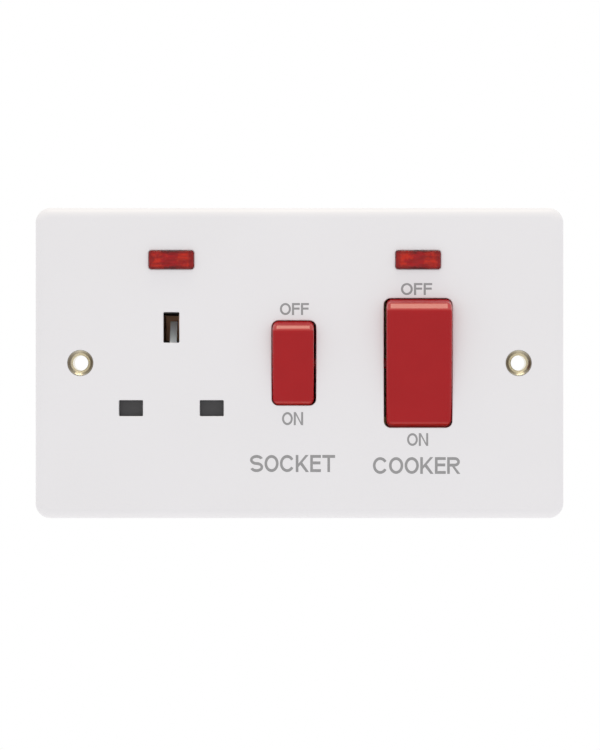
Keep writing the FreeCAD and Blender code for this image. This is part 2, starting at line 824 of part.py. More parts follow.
def live_strip():
    left, right, bottom, top = contact_pad(live_pin_x)
    _, pad_right, pad_bottom, pad_top = switch_pad("live")
    run_left, run_right = size.live_strip_x - size.strip_width / 2, size.live_strip_x + size.strip_width / 2
    step_z = bottom + size.strip_width
    return [(left, bottom), (run_right, bottom), (run_right, pad_bottom), (pad_right, pad_bottom),
            (pad_right, pad_top), (run_left, pad_top), (run_left, step_z), (right, step_z), (right, top), (left, top)]


def neutral_strip():
    left, right, bottom, top = contact_pad(neutral_pin_x)
    pad_left, pad_right, pad_bottom, _ = switch_pad("neutral")
    high_z = deep_inner - size.strip_edge
    low_z = high_z - size.strip_width
    run_right = left + size.strip_width
    return [(left, bottom), (right, bottom), (right, top), (run_right, top), (run_right, low_z), (pad_left, low_z),
            (pad_left, pad_bottom), (pad_right, pad_bottom), (pad_right, high_z), (left, high_z)]


def build_earth_contact():
    body = new_body("earth_pin_contact")
    sketch = plan(body, "earth_jaws", z=size.earth_z, x=size.socket_x)
    leaf = size.jaw_thickness
    right = [(offset, y) for y, offset in jaw(1, earth_bottom_y)]
    left = [(offset, y) for y, offset in jaw(-1, earth_bottom_y)]
    back_y = earth_bottom_y + leaf
    outline(sketch, [(size.jaw_root + leaf, back_y)] + right[2:] + [right[0], left[0]] + left[:1:-1]
            + [(-(size.jaw_root + leaf), back_y)])
    pad(body, sketch, size.earth_jaw_width, both=True)
    sketch = side(body, "earth_tail", x=earth_tail_x())
    top_z = size.strap_z + size.strap_width / 2 - size.strip_edge
    outline(sketch, [(strap_back_y, size.earth_z), (size.earth_tail_depth, size.earth_z),
                     (size.earth_tail_depth, top_z), (strap_back_y, top_z)])
    pad(body, sketch, leaf, both=True)
    return body


def earth_tail_x():
    return size.socket_x + size.jaw_throat + size.jaw_thickness / 2


# Shutter that closes the live and neutral apertures until an earth pin pushes it down


def shutter_right_x():
    return live_pin_x + size.line_slot_width / 2 + size.shutter_overlap


def return_spring_y():
    return shutter_y + size.return_spring_radius + size.spring_wire / 2


def build_shutter():
    body = new_body("shutter")
    half, stem = shutter_right_x() - size.socket_x, size.stem_width / 2
    low, high = line_z - size.shutter_height / 2, line_z + size.shutter_height / 2
    sketch = front(body, "shutter_outline", y=shutter_back_y, x=size.socket_x)
    outline(sketch, [(-half, low), (half, low), (half, high), (stem, high), (stem, stem_top_z), (-stem, stem_top_z),
                     (-stem, high), (-half, high)])
    pad(body, sketch, size.shutter_thickness)
    sketch = front(body, "spring_block", y=shutter_y, x=size.socket_x, z=low + size.shutter_thickness / 2)
    rectangle(sketch, size.spring_block_width, size.shutter_thickness)
    pad(body, sketch, return_spring_y() + size.return_spring_radius - shutter_y, back=True)
    sketch = plan(body, "spring_peg", z=low + size.shutter_thickness / 2, x=size.socket_x, y=return_spring_y())
    circle(sketch, size.peg_radius)
    pad(body, sketch, size.shutter_thickness / 2 + size.peg_radius * 2, back=True)
    return body


def ramp_x():
    return size.socket_x + size.ramp_offset


def build_shutter_ramp():
    """The cam on the stem's end: a pin that comes in pushes on its slope and so moves the shutter."""
    body = new_body("shutter_ramp")
    sketch = side(body, "ramp_profile", x=ramp_x())
    top_z, top_y = stem_top_z + size.shutter_travel, shutter_y + size.shutter_travel
    outline(sketch, [(shutter_y, stem_top_z), (shutter_back_y, stem_top_z),
                     (shutter_back_y, stem_top_z - size.ramp_root), (top_y + size.ramp_depth, top_z), (top_y, top_z)])
    pad(body, sketch, size.ramp_width, both=True)
    return body


def build_return_spring():
    body = new_body("shutter_spring")
    wire = size.spring_wire / 2
    start_z = size.spring_seat_z + wire + size.spring_play
    end_z = line_z - size.shutter_height / 2 - wire - size.spring_play
    sketch = front(body, "spring_wire", y=return_spring_y(), x=size.socket_x)
    circle(sketch, wire, x=size.return_spring_radius, y=start_z)
    helix(body, sketch, end_z - start_z, size.return_spring_turns, "V_Axis")
    return body


# Neon indicators: a red lens, a lamp with its resistor, and the leads


def build_lens(name, x):
    body = new_body(f"{name}_neon_lens")
    back_y = collar_y
    sketch = front(body, "lens_outline", y=back_y, x=x, z=size.neon_z)
    rounded_rectangle(sketch, size.lens_width, size.lens_height, size.lens_corner)
    pad(body, sketch, back_y - face_y + size.lens_proud)
    fillet(body, size.lens_edge, lies_at("y", face_y - size.lens_proud))
    sketch = front(body, "lens_flange", y=inner_y, x=x, z=size.neon_z)
    rectangle(sketch, size.lens_width + size.lens_flange * 2, size.lens_height)
    pad(body, sketch, size.lens_flange, back=True)
    sketch = front(body, "lens_hollow", y=back_y, x=x, z=size.neon_z)
    rectangle(sketch, size.lens_width - size.lens_wall * 2, size.lens_height - size.lens_wall * 2)
    pocket(body, sketch, back_y - face_y + size.lens_proud - size.lens_wall, forward=True)
    add_prisms(body, x)
    return body


def add_prisms(body, x):
    """Upright prisms behind the front of the lens, which scatter the light of the lamp."""
    inner_width = size.lens_width - size.lens_wall * 2
    root_y = face_y - size.lens_proud + size.lens_wall
    count = round((inner_width / size.prism_pitch).value)
    pitch = inner_width / count
    valley_y, ridge_y = root_y + size.prism_root, root_y + size.prism_depth
    points = [(inner_width / 2, root_y), (inner_width / 2, valley_y)]
    for i in range(count):
        points.append((inner_width / 2 - pitch * (i + 0.5), ridge_y))
        points.append((inner_width / 2 - pitch * (i + 1), valley_y))
    points.append((-inner_width / 2, root_y))
    sketch = plan(body, "prisms", z=size.neon_z, x=x)
    outline(sketch, points)
    pad(body, sketch, size.lens_height - size.lens_wall * 2, both=True)


def build_lamp(name, x):
    body = new_body(f"{name}_neon_lamp")
    half, radius = size.lamp_length / 2, size.lamp_radius
    sketch = plan(body, "lamp_section", z=size.neon_z, x=x, y=-size.lamp_setback)
    outline(sketch, [(-half, 0), (half, 0), (half - radius, radius), (radius - half, radius)],
            arcs={1: radius, 3: radius})
    turn(body, sketch)
    return body


def build_resistor(name, x):
    body = new_body(f"{name}_neon_resistor")
    cap, waist = size.resistor_radius, size.resistor_radius - size.resistor_waist
    sketch = side(body, "resistor_section", x=lead_x(x, 1), z=size.neon_z)
    end_y, shoulder = size.resistor_length, size.resistor_cap
    neck = shoulder + size.resistor_step
    outline(sketch, [(0, 0), (end_y, 0), (end_y, cap), (end_y - shoulder, cap), (end_y - neck, waist),
                     (neck, waist), (shoulder, cap), (0, cap)])
    turn(body, sketch)
    return body


def lead_x(x, sign):
    return x + (size.lamp_length / 2 + size.lead_reach) * sign


def bent_wire(points, radius, bend):
    """A round wire along straight runs that are joined by tangent arcs."""
    edges = []
    start = points[0]
    for before, corner, after in zip(points, points[1:], points[2:]):
        into, away = (corner - before).normalize(), (after - corner).normalize()
        half_turn = into.getAngle(away) / 2
        cut = bend * math.tan(half_turn)
        first, last = corner - into * cut, corner + away * cut
        middle = corner + (away - into).normalize() * (bend / math.cos(half_turn) - bend)
        edges.append(Part.LineSegment(start, first).toShape())
        edges.append(Part.Arc(first, middle, last).toShape())
        start = last
    edges.append(Part.LineSegment(start, points[-1]).toShape())
    path = Part.Wire(edges)
    ring = Part.Wire(Part.Circle(points[0], points[1] - points[0], radius).toShape())
    return path.makePipeShell([ring], True, False)


def build_leads(name, x, ends):
    """The lamp's three leads; their route is free in space, so the solids are set directly."""
    lamp_y, z = -size.lamp_setback, size.neon_z
    left, right = lead_x(x, -1), lead_x(x, 1)
    half = size.lamp_length / 2
    routes = [
        [(x - half, lamp_y, z), (left, lamp_y, z), (left, size.resistor_length, z)] + ends["left"],
        [(x + half, lamp_y, z), (right, lamp_y, z), (right, as_size(0), z)],
        [(right, size.resistor_length, z), (right, size.resistor_length + size.lead_bend * 2, z)] + ends["right"],
    ]
    wires = [
        bent_wire([Vector(*(as_size(number).value for number in point)) for point in route],
                  size.lead_radius.value, size.lead_bend.value)
        for route in routes
    ]
    leads = doc.addObject("Part::Feature", f"{name}_neon_leads")
    leads.Label = f"{name}_neon_leads"
    leads.Shape = Part.makeCompound(wires)
    return leads


# Terminals: a brass block with a wire tunnel and two clamping screws


def build_terminal(label, x, sign):
    body = new_body(label)
    z = terminal_z * sign
    sketch = front(body, "terminal_block", y=strip_back_y, x=x, z=z)
    rectangle(sketch, size.terminal_width, size.terminal_length)
    pad(body, sketch, size.terminal_depth, back=True)
    fillet(body, size.terminal_edge, runs_along(Vector(0, 0, 1)))
    sketch = plan(body, "wire_tunnel", z=z, x=x, y=strip_back_y + size.wire_floor + size.wire_bore / 2)
    circle(sketch, size.wire_bore / 2)
    pocket(body, sketch, size.terminal_length, both=True)
    chamfer(body, size.wire_lead_in, tunnel_mouth(z))
    sketch = front(body, "screw_holes", y=terminal_back_y, x=x, z=z)
    for end in (-1, 1):
        circle(sketch, size.terminal_screw_radius + size.screw_play, y=size.terminal_screw_pitch / 2 * end)
    pocket(body, sketch, size.terminal_depth - size.wire_floor - size.wire_bore / 2, forward=True)
    return body


def tunnel_mouth(z):
    """A test for the round edges at both ends of a wire tunnel."""
    def test(edge):
        ends = [z.value - size.terminal_length.value / 2, z.value + size.terminal_length.value / 2]
        return isinstance(edge.Curve, Part.Circle) and any(
            lies_at("z", as_size(end))(edge) for end in ends) and edge.Curve.Radius > size.terminal_edge.value * 2
    return test


def slotted_screw(name, shank_radius, shank_length, head_radius, head_height):
    """A screw along Y with its head at the back; the underside of the head is at the origin."""
    body = new_body(name)
    sketch = side(body, "screw_section")
    crown = head_height / 3
    outline(sketch, [(-shank_length, 0), (head_height, 0), (head_height, head_radius - crown),
                     (head_height - crown, head_radius), (0, head_radius), (0, shank_radius),
                     (-shank_length, shank_radius)], arcs={2: crown})
    turn(body, sketch)
    sketch = front(body, "driver_slot", y=head_height)
    rectangle(sketch, head_radius * 2, size.slot_width)
    pocket(body, sketch, size.slot_depth, forward=True)
    return body


def screw_group(label, screw, places):
    """Copies of one screw at several places, kept together as one group of solids."""
    doc.recompute()
    group = doc.addObject("Part::Feature", label)
    group.Label = label
    group.Shape = Part.makeCompound([
        screw.Shape.translated(Vector(*(as_size(number).value for number in place))) for place in places])
    return group


# Links between the two switches, and the earth strap


def build_neutral_link():
    body = new_body("neutral_link")
    start = arm_x(SWITCHES["socket"], "neutral") - size.socket_arm_width / 2
    end = arm_x(SWITCHES["cooker"], "neutral") + size.cooker_arm_width / 2
    sketch = front(body, "link_outline", y=strip_y, z=size.link_z)
    half = size.link_width / 2
    outline(sketch, [(start, -half), (end, -half), (end, half), (start, half)])
    pad(body, sketch, size.link_thickness)
    return body


def build_live_link():
    """A strip that steps forward so that it bridges the neutral pole."""
    body = new_body("live_link")
    socket, cooker = SWITCHES["socket"], SWITCHES["cooker"]
    left = arm_x(socket, "live") - socket.arm_width / 2
    left_foot = arm_x(socket, "live") + socket.arm_width / 2
    right_foot = arm_x(cooker, "live") - cooker.arm_width / 2
    right = arm_x(cooker, "live") + cooker.arm_width / 2
    leaf, slope = size.link_thickness, size.link_slope
    high_y = strip_y - size.link_rise
    sketch = plan(body, "link_profile", z=size.link_z)
    outline(sketch, [(left, strip_y), (left, strip_y - leaf), (left_foot - slope, strip_y - leaf),
                     (left_foot, high_y - leaf), (right_foot, high_y - leaf), (right_foot + slope, strip_y - leaf),
                     (right, strip_y - leaf), (right, strip_y), (right_foot + slope / 2, strip_y),
                     (right_foot - slope / 2, high_y), (left_foot + slope / 2, high_y),
                     (left_foot - slope / 2, strip_y)])
    pad(body, sketch, size.link_width, both=True)
    return body


def build_earth_strap():
    """A flat strip over the switches, with a leg down to a ring at each fixing hole."""
    body = new_body("earth_strap")
    half = size.strap_width / 2
    sketch = front(body, "strap_outline", y=strap_back_y)
    low, high = size.strap_z - half, size.strap_z + half
    outline(sketch, [(-fixing_x - half, 0), (half - fixing_x, 0), (half - fixing_x, low), (fixing_x - half, low),
                     (fixing_x - half, 0), (fixing_x + half, 0), (fixing_x + half, high), (-fixing_x - half, high)])
    pad(body, sketch, size.strap_thickness)
    for sign in (-1, 1):
        sketch = front(body, "strap_ring", y=strap_back_y, x=fixing_x * sign)
        circle(sketch, size.strap_ring)
        pad(body, sketch, size.strap_thickness)
        sketch = front(body, "strap_hole", y=strap_y, x=fixing_x * sign)
        circle(sketch, sleeve_radius + size.screw_play)
        pocket(body, sketch, size.strap_thickness)
    return body


def build_earth_link():
    """A folded strip from the strap back to the earth terminal."""
    body = new_body("earth_link")
    leaf = size.strap_thickness
    high = size.strap_z + size.strap_width / 2
    low = high - leaf
    end_z = terminal_z + size.terminal_length / 2
    sketch = side(body, "link_profile", x=size.earth_terminal_x)
    outline(sketch, [(strap_back_y, size.strap_z - size.strap_width / 2 + size.strip_edge),
                     (strap_back_y + leaf, size.strap_z - size.strap_width / 2 + size.strip_edge),
                     (strap_back_y + leaf, low), (strip_back_y, low), (strip_back_y, end_z),
                     (strip_back_y - leaf, end_z), (strip_back_y - leaf, high), (strap_back_y, high)])
    pad(body, sketch, size.earth_link_width, both=True)
    return body


# Rear base: a deep tray in black moulding that carries the works


def build_base():
    body = new_body("rear_base")
    sketch = front(body, "base_outline", y=base_y)
    rounded_rectangle(sketch, size.base_width, size.base_height, size.base_corner)
    pad(body, sketch, strip_y - base_y, back=True)
    sketch = front(body, "deep_outline", y=strip_y)
    rectangle(sketch, size.base_width, size.deep_half * 2)
    pad(body, sketch, base_back_y - strip_y, back=True)
    fillet(body, size.deep_corner, deep_corner_edge)
    fillet(body, size.base_edge, lies_at("y", base_back_y))
    inner_width = size.base_width - size.base_wall * 2
    sketch = front(body, "tray", y=base_y)
    rounded_rectangle(sketch, inner_width, base_inner * 2, size.base_corner - size.base_wall)
    pocket(body, sketch, strip_y - size.base_floor - base_y)
    sketch = front(body, "deep_tray", y=base_y)
    rectangle(sketch, inner_width, deep_inner * 2)
    pocket(body, sketch, strip_back_y - base_y)
    for name, switch in SWITCHES.items():
        add_switch_walls(body, name, switch)
    add_contact_chambers(body)
    add_screw_posts(body)
    add_terminal_bays(body)
    add_channels(body)
    return body


def deep_corner_edge(edge):
    """A test for the four corner edges of the deep part of the base."""
    return runs_along(Vector(0, 1, 0))(edge) and abs(edge.BoundBox.YMax - base_back_y.value) < 1e-4


def add_switch_walls(body, name, switch):
    """Walls that close the axle notches from behind, and a barrier between the poles."""
    wall_x = switch.width / 2 + size.collar_wall / 2
    sketch = front(body, f"{name}_walls", y=strip_back_y, x=switch.x)
    for sign in (-1, 1):
        rectangle(sketch, size.collar_wall, deep_inner * 2, x=wall_x * sign)
    pad(body, sketch, strip_back_y - collar_y - size.seat_gap)
    sketch = front(body, f"{name}_axle_tongues", y=strip_back_y, x=switch.x)
    for sign in (-1, 1):
        rectangle(sketch, size.collar_wall, (size.axle_radius - size.seat_gap) * 2, x=wall_x * sign)
    pad(body, sketch, strip_back_y - pivot_y - size.axle_radius - size.seat_gap)
    sketch = front(body, f"{name}_pole_barrier", y=strip_back_y, x=switch.x)
    rectangle(sketch, size.pole_barrier, deep_inner * 2)
    pad(body, sketch, strip_back_y - pivot_y - size.plunger_reach + size.barrier_drop)


def add_contact_chambers(body):
    """A tall well round each contact, open to the front for the pin."""
    across = size.jaw_width + size.chamber_play * 2
    up = (size.jaw_mouth + size.jaw_thickness + size.chamber_play) * 2
    earth_up = size.earth_jaw_width + size.chamber_play * 2
    wells = {"neutral": (neutral_pin_x, line_z, across, up), "live": (live_pin_x, line_z, across, up),
             "earth": (size.socket_x, size.earth_z, up, earth_up)}
    for name, (x, z, width, height) in wells.items():
        sketch = front(body, f"{name}_chamber", y=strip_back_y, x=x, z=z)
        rectangle(sketch, width + size.chamber_wall * 2, height + size.chamber_wall * 2)
        rectangle(sketch, width, height)
        pad(body, sketch, strip_back_y - chamber_y)
    sketch = front(body, "earth_recess", y=chamber_y, x=size.socket_x, z=size.earth_z)
    rectangle(sketch, up, earth_up)
    pocket(body, sketch, earth_bottom_y + size.jaw_thickness - chamber_y)
    sketch = front(body, "ramp_slot", y=chamber_y, x=ramp_x(),
                   z=size.earth_z - earth_up / 2 - size.chamber_wall / 2)
    rectangle(sketch, size.ramp_width + size.channel_play * 2, size.chamber_wall * 2)
    ramp_back = shutter_y + size.shutter_travel + size.ramp_depth + size.channel_play
    pocket(body, sketch, ramp_back - chamber_y)
    sketch = front(body, "tail_slot", y=chamber_y, x=earth_tail_x(),
                   z=size.earth_z + earth_up / 2 + size.chamber_wall / 2)
    rectangle(sketch, size.jaw_thickness + size.channel_play * 2, size.chamber_wall * 2)
    pocket(body, sketch, size.earth_tail_depth + size.channel_play - chamber_y)


def add_screw_posts(body):
    floor_y = strip_y - size.base_floor
    sketch = front(body, "screw_posts", y=floor_y)
    for x, z in BASE_SCREWS:
        circle(sketch, size.screw_post, x, z)
    pad(body, sketch, floor_y - base_y)
    sketch = front(body, "screw_holes", y=base_y)
    for x, z in BASE_SCREWS:
        circle(sketch, size.base_screw_radius + size.screw_play * 2, x, z)
    pocket(body, sketch, strip_y - base_y)
    sketch = front(body, "head_recesses", y=strip_y)
    for x, z in BASE_SCREWS:
        circle(sketch, size.base_screw_head + size.channel_play, x, z)
    pocket(body, sketch, size.base_screw_sink, forward=True)


def add_terminal_bays(body):
    """Barriers on the back that stand between the terminals."""
    half = size.terminal_offset + size.terminal_width / 2 + size.channel_play + size.bay_wall / 2
    earth_half = size.terminal_width / 2 + size.channel_play + size.bay_wall / 2
    load_walls = [size.cooker_x - half, size.cooker_x, size.cooker_x + half]
    earth_walls = [size.earth_terminal_x - earth_half, size.earth_terminal_x + earth_half]
    length = size.base_height / 2 - size.deep_half
    middle = (size.base_height / 2 + size.deep_half) / 2
    sketch = front(body, "terminal_bays", y=strip_y)
    for sign, walls in ((1, load_walls + earth_walls), (-1, load_walls)):
        for x in walls:
            rectangle(sketch, size.bay_wall, length, x, middle * sign)
    pad(body, sketch, size.bay_height, back=True)


def add_channels(body):
    """Gaps in the walls where strips, links and the earth strap pass."""
    play = size.channel_play
    run_y = strip_y - size.link_thickness - play
    end_wall = size.deep_half - size.base_wall / 2
    sketch = front(body, "strip_channels", y=strip_y)
    for pole in ("live", "neutral"):
        x = arm_x(SWITCHES["cooker"], pole)
        for sign in (-1, 1):
            rectangle(sketch, size.cooker_arm_width + play * 2, size.base_wall * 2, x, end_wall * sign)
    pocket(body, sketch, size.strip_thickness)
    for strip, label in ((live_strip(), "live_channel"), (neutral_strip(), "neutral_channel")):
        sketch = front(body, label, y=strip_y - play)
        outline(sketch, strip)
        pocket(body, sketch, size.strip_thickness + play)
    start = arm_x(SWITCHES["socket"], "live") - size.socket_arm_width / 2 - play
    end = arm_x(SWITCHES["cooker"], "live") + size.cooker_arm_width / 2 + play
    sketch = front(body, "link_channel", y=collar_y - size.axle_radius, z=size.link_z)
    half = size.link_width / 2 + play
    outline(sketch, [(start, -half), (end, -half), (end, half), (start, half)])
    pocket(body, sketch, strip_back_y - collar_y + size.axle_radius)
    sketch = front(body, "strap_channel", y=base_y, z=size.strap_z)
    rectangle(sketch, size.base_width, size.strap_width + play * 2)
    pocket(body, sketch, strap_back_y + play - base_y)
    sketch = front(body, "earth_link_slot", y=run_y - size.base_floor, x=size.earth_terminal_x,
                   z=size.strap_z + size.strap_width / 2 - size.strap_thickness / 2)
    rectangle(sketch, size.earth_link_width + play * 2, size.strap_thickness + play * 2)
    pocket(body, sketch, strip_y - run_y + size.base_floor)


# Put the unit together


def build_switch(name, switch):
    pieces = [build_rocker(name, switch)]
    for pole in ("live", "neutral"):
        end_z = -strip_end_z if name == "cooker" else size.link_z - size.link_width / 2
        pieces += [
            build_plunger(name, pole, switch),
            build_plunger_spring(name, pole, switch),
            build_arm(name, pole, switch),
            build_arm_tip(name, pole, switch),
            build_fixed_tip(name, pole, switch),
            build_fulcrum(name, pole, switch, end_z),
        ]
    return pieces


def build_neons():
    cooker = SWITCHES["cooker"]
    low_z = cooker.reach + size.lead_drop
    drop_y = size.resistor_length + size.lead_bend * 2
    live_z = switch_pad("live")[3] - size.strip_width / 2
    neutral_z = deep_inner - size.strip_edge - size.strip_width / 2
    ends = {
        "cooker": {
            "left": [(arm_x(cooker, "neutral"), drop_y, low_z), (arm_x(cooker, "neutral"), strip_y, low_z)],
            "right": [(arm_x(cooker, "live"), drop_y + size.lead_bend, low_z),
                      (arm_x(cooker, "live"), strip_y, low_z)]},
        "socket": {
            "left": [(lead_x(size.socket_x, -1), drop_y, neutral_z), (lead_x(size.socket_x, -1), strip_y, neutral_z)],
            "right": [(size.live_strip_x, drop_y + size.lead_bend, live_z), (size.live_strip_x, strip_y, live_z)]},
    }
    pieces = []
    for name, x in NEONS.items():
        pieces += [build_lens(name, x), build_lamp(name, x), build_resistor(name, x), build_leads(name, x, ends[name])]
    return pieces


def build_terminals():
    places = {("load", pole): (terminal_x(pole), 1) for pole in ("live", "neutral")}
    places.update({("supply", pole): (terminal_x(pole), -1) for pole in ("live", "neutral")})
    pieces = [build_terminal(f"{kind}_{pole}_terminal", x, sign) for (kind, pole), (x, sign) in places.items()]
    pieces.append(build_terminal("earth_terminal", size.earth_terminal_x, 1))
    screw_depth = size.terminal_depth - size.wire_floor - size.wire_bore + size.terminal_screw_lift
    screw = slotted_screw("terminal_screw", size.terminal_screw_radius, screw_depth,
                          size.terminal_screw_head, size.terminal_screw_head_height)
    head_y = terminal_back_y + size.terminal_screw_lift
    half = size.terminal_screw_pitch / 2
    rows = list(places.values()) + [(size.earth_terminal_x, 1)]
    points = [(x, head_y, terminal_z * sign + half * end) for x, sign in rows for end in (-1, 1)]
    pieces.append(screw_group("terminal_screws", screw, points))
    return pieces


def build_base_screws():
    seat_y = strip_y - size.base_screw_sink
    screw = slotted_screw("base_screw", size.base_screw_radius, seat_y - base_y + size.base_screw_bite,
                          size.base_screw_head, size.base_screw_head_height)
    return screw_group("base_screws", screw, [(x, seat_y, z) for x, z in BASE_SCREWS])


pieces = [build_front_plate(), build_fixing_sleeve("left", -1), build_fixing_sleeve("right", 1)]
for name, switch in SWITCHES.items():
    pieces += build_switch(name, switch)
pieces += [build_load_strip("live"), build_load_strip("neutral")]
pieces += [line_contact("live_pin_contact", live_pin_x, live_strip()),
           line_contact("neutral_pin_contact", neutral_pin_x, neutral_strip()), build_earth_contact()]
pieces += [build_shutter(), build_shutter_ramp(), build_return_spring()]
pieces += build_neons()
pieces += build_terminals()
pieces += [build_neutral_link(), build_live_link(), build_earth_strap(), build_earth_link()]
pieces += [build_base(), build_base_screws()]
doc.recompute()

faults = [f"{thing.Label}: {thing.State}" for thing in doc.Objects if {"Invalid", "Error"} & set(thing.State)]
faults += [f"{piece.Label}: bad shape" for piece in pieces if piece.Shape.isNull() or not piece.Shape.isValid()]
if faults:
    raise RuntimeError("; ".join(faults))

os.makedirs("parts", exist_ok=True)
for piece in pieces:
    piece.Shape.exportStep(f"parts/{piece.Label}.step")
print(f"{len(pieces)} nodes, {sum(len(piece.Shape.Solids) for piece in pieces)} solids")
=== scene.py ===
"""A cooker control unit: a white two-gang wall plate with one switched socket on the left, a large red
cooker switch on the right and a red neon lens above each. All sizes are in metres."""
import json
import math

import bmesh
import bpy
from mathutils import Matrix, Vector


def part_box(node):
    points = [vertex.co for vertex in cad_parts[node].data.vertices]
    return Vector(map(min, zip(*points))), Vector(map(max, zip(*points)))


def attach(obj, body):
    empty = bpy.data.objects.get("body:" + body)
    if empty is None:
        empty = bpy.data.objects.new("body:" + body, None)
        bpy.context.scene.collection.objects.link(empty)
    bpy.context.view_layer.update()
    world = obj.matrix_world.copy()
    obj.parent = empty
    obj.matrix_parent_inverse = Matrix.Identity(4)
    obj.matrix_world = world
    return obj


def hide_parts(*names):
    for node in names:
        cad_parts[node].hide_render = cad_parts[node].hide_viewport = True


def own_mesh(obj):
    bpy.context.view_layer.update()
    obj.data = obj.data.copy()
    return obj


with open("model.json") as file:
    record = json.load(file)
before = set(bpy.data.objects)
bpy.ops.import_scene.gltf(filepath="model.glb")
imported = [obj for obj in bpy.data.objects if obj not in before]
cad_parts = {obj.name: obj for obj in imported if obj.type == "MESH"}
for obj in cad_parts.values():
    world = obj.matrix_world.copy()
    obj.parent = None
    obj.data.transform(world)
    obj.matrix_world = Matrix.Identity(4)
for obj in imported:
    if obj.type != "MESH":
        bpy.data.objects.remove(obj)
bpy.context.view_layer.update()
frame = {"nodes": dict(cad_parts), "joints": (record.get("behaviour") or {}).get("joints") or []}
nodes = frame["nodes"]


# Front plate: one thick moulding in white urea, with a soft rounded edge and a satin face.
# It is pressed in a polished tool, so it shows only a faint waviness and a very fine grain.
class Value:
    """One output in a finish's node tree; an expression on it adds Math nodes."""

    def __init__(self, finish, socket):
        self.finish = finish
        self.socket = socket

    def __add__(self, other):
        return self.finish.math("ADD", self, other)

    def __radd__(self, other):
        return self.finish.math("ADD", other, self)

    def __sub__(self, other):
        return self.finish.math("SUBTRACT", self, other)

    def __rsub__(self, other):
        return self.finish.math("SUBTRACT", other, self)

    def __mul__(self, other):
        return self.finish.math("MULTIPLY", self, other)

    def __rmul__(self, other):
        return self.finish.math("MULTIPLY", other, self)

    def __truediv__(self, other):
        return self.finish.math("DIVIDE", self, other)

    def __pow__(self, other):
        return self.finish.math("POWER", self, other)

    def __abs__(self):
        return self.finish.math("ABSOLUTE", self, 0)


class Finish:
    """A material on one Principled shader, built node by node."""

    def __init__(self, name, **constants):
        self.material = bpy.data.materials.new(name)
        self.material.use_nodes = True
        self.tree = self.material.node_tree
        self.shader = self.tree.nodes["Principled BSDF"]
        for socket, value in constants.items():
            self.shade(socket.replace("_", " ").title().replace("Ior", "IOR"), value)
        self.place = self.node("TexCoord", output="Object")

    def node(self, kind, settings=None, inputs=None, output=0):
        """Adds a node, with its settings first and then the values or links of its sockets."""
        node = self.tree.nodes.new("ShaderNode" + kind)
        for name, setting in (settings or {}).items():
            if name == "bands":
                self.set_bands(node.color_ramp, setting)
            else:
                setattr(node, name, setting)
        for name, value in (inputs or {}).items():
            self.feed(node.inputs[name], value)
        return Value(self, node.outputs[output])

    def set_bands(self, ramp, bands):
        """Gives a colour ramp bands with hard edges, each from its own position on."""
        ramp.interpolation = "CONSTANT"
        while len(ramp.elements) < len(bands):
            ramp.elements.new(1)
        for element, (position, colour) in zip(ramp.elements, bands):
            element.position = position
            element.color = (*colour, 1)

    def feed(self, socket, value):
        if isinstance(value, Value):
            self.tree.links.new(value.socket, socket)
        elif socket.type == "RGBA":
            socket.default_value = (*value, 1)
        else:
            socket.default_value = value

    def shade(self, socket, value):
        self.feed(self.shader.inputs[socket], value)

    def math(self, operation, first, second):
        return self.node("Math", {"operation": operation}, {0: first, 1: second})

    def mix(self, factor, first, second):
        return self.node("Mix", {"data_type": "RGBA"}, {0: factor, 6: first, 7: second}, output=2)

    def noise(self, patch, detail=2.0, vector=None):
        """Noise whose patches are about that many metres across."""
        inputs = {"Vector": vector or self.place, "Scale": 1 / patch, "Detail": detail}
        return self.node("TexNoise", inputs=inputs)

    def stretched(self, along):
        """Object coordinates drawn out so that a noise turns into streaks."""
        return self.node("Mapping", inputs={"Vector": self.place, "Scale": along})

    def distance(self, axis, origin):
        """How far a point lies from an origin along the X, Y or Z axis."""
        return self.node("SeparateXYZ", inputs={0: self.place}, output=axis) - origin

    def fade(self, value, start, end):
        """Runs smoothly from 0 to 1 as a value goes from start to end."""
        inputs = {"Value": value, "From Min": start, "From Max": end}
        return self.node("MapRange", {"interpolation_type": "SMOOTHSTEP"}, inputs)

    def mottled(self, patch, base, drift):
        """A colour that drifts in patches from its base tone to another."""
        return self.mix(self.noise(patch), base, drift)

    def mottle(self, patch, base, drift):
        self.shade("Base Color", self.mottled(patch, base, drift))

    def roughen(self, patch, least, spread):
        self.shade("Roughness", least + spread * self.noise(patch))

    def grain(self, height, depth):
        """Raises the surface by a height that runs from 0 to 1, over that depth in metres."""
        normal = self.node("Bump", inputs={"Strength": 1.0, "Distance": depth, "Height": height})
        self.shade("Normal", normal)

    def paint(self, *names):
        for name in names:
            piece = nodes[name]
            piece.data.materials.clear()
            piece.data.materials.append(self.material)


urea = Finish("white_urea", ior=1.5)
urea.mottle(patch=0.03, base=(0.83, 0.815, 0.835), drift=(0.80, 0.785, 0.80))
urea.roughen(patch=0.004, least=0.38, spread=0.10)
urea.grain(urea.noise(0.0005, detail=3.0), depth=0.000008)
urea.paint("front_plate")


# Fixing sleeves: brass eyelets pressed into the two fixing holes, with a countersunk rim.
# The rim is bright round the bore, which is left open for the screw, and dull outside it, with a painted
# reflection that darkens its two sides.
rim_bright = (0.90, 0.84, 0.68)
rim_dull = (0.17, 0.14, 0.10)
polished_radius = 0.0025
tarnished_radius = 0.0029
least_tarnish = 0.30
side_painted_reflection = 0.60
patchy_tarnish = 0.10
streak_width = 0.0004
streak_stretch = (1.0, 1.0, 0.08)
streak_roughness = 0.14
streak_depth = 0.000006


def streaked_brass(name, roughness):
    """Bare brass with the fine streaks that rolling or turning leaves."""
    brass = Finish(name, metallic=1.0)
    streaks = brass.noise(streak_width, detail=4.0, vector=brass.stretched(streak_stretch))
    brass.shade("Roughness", roughness + streak_roughness * streaks)
    brass.grain(streaks, streak_depth)
    return brass


def middle_of(name):
    """The middle of a node's box."""
    low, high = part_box(name)
    return (low + high) / 2


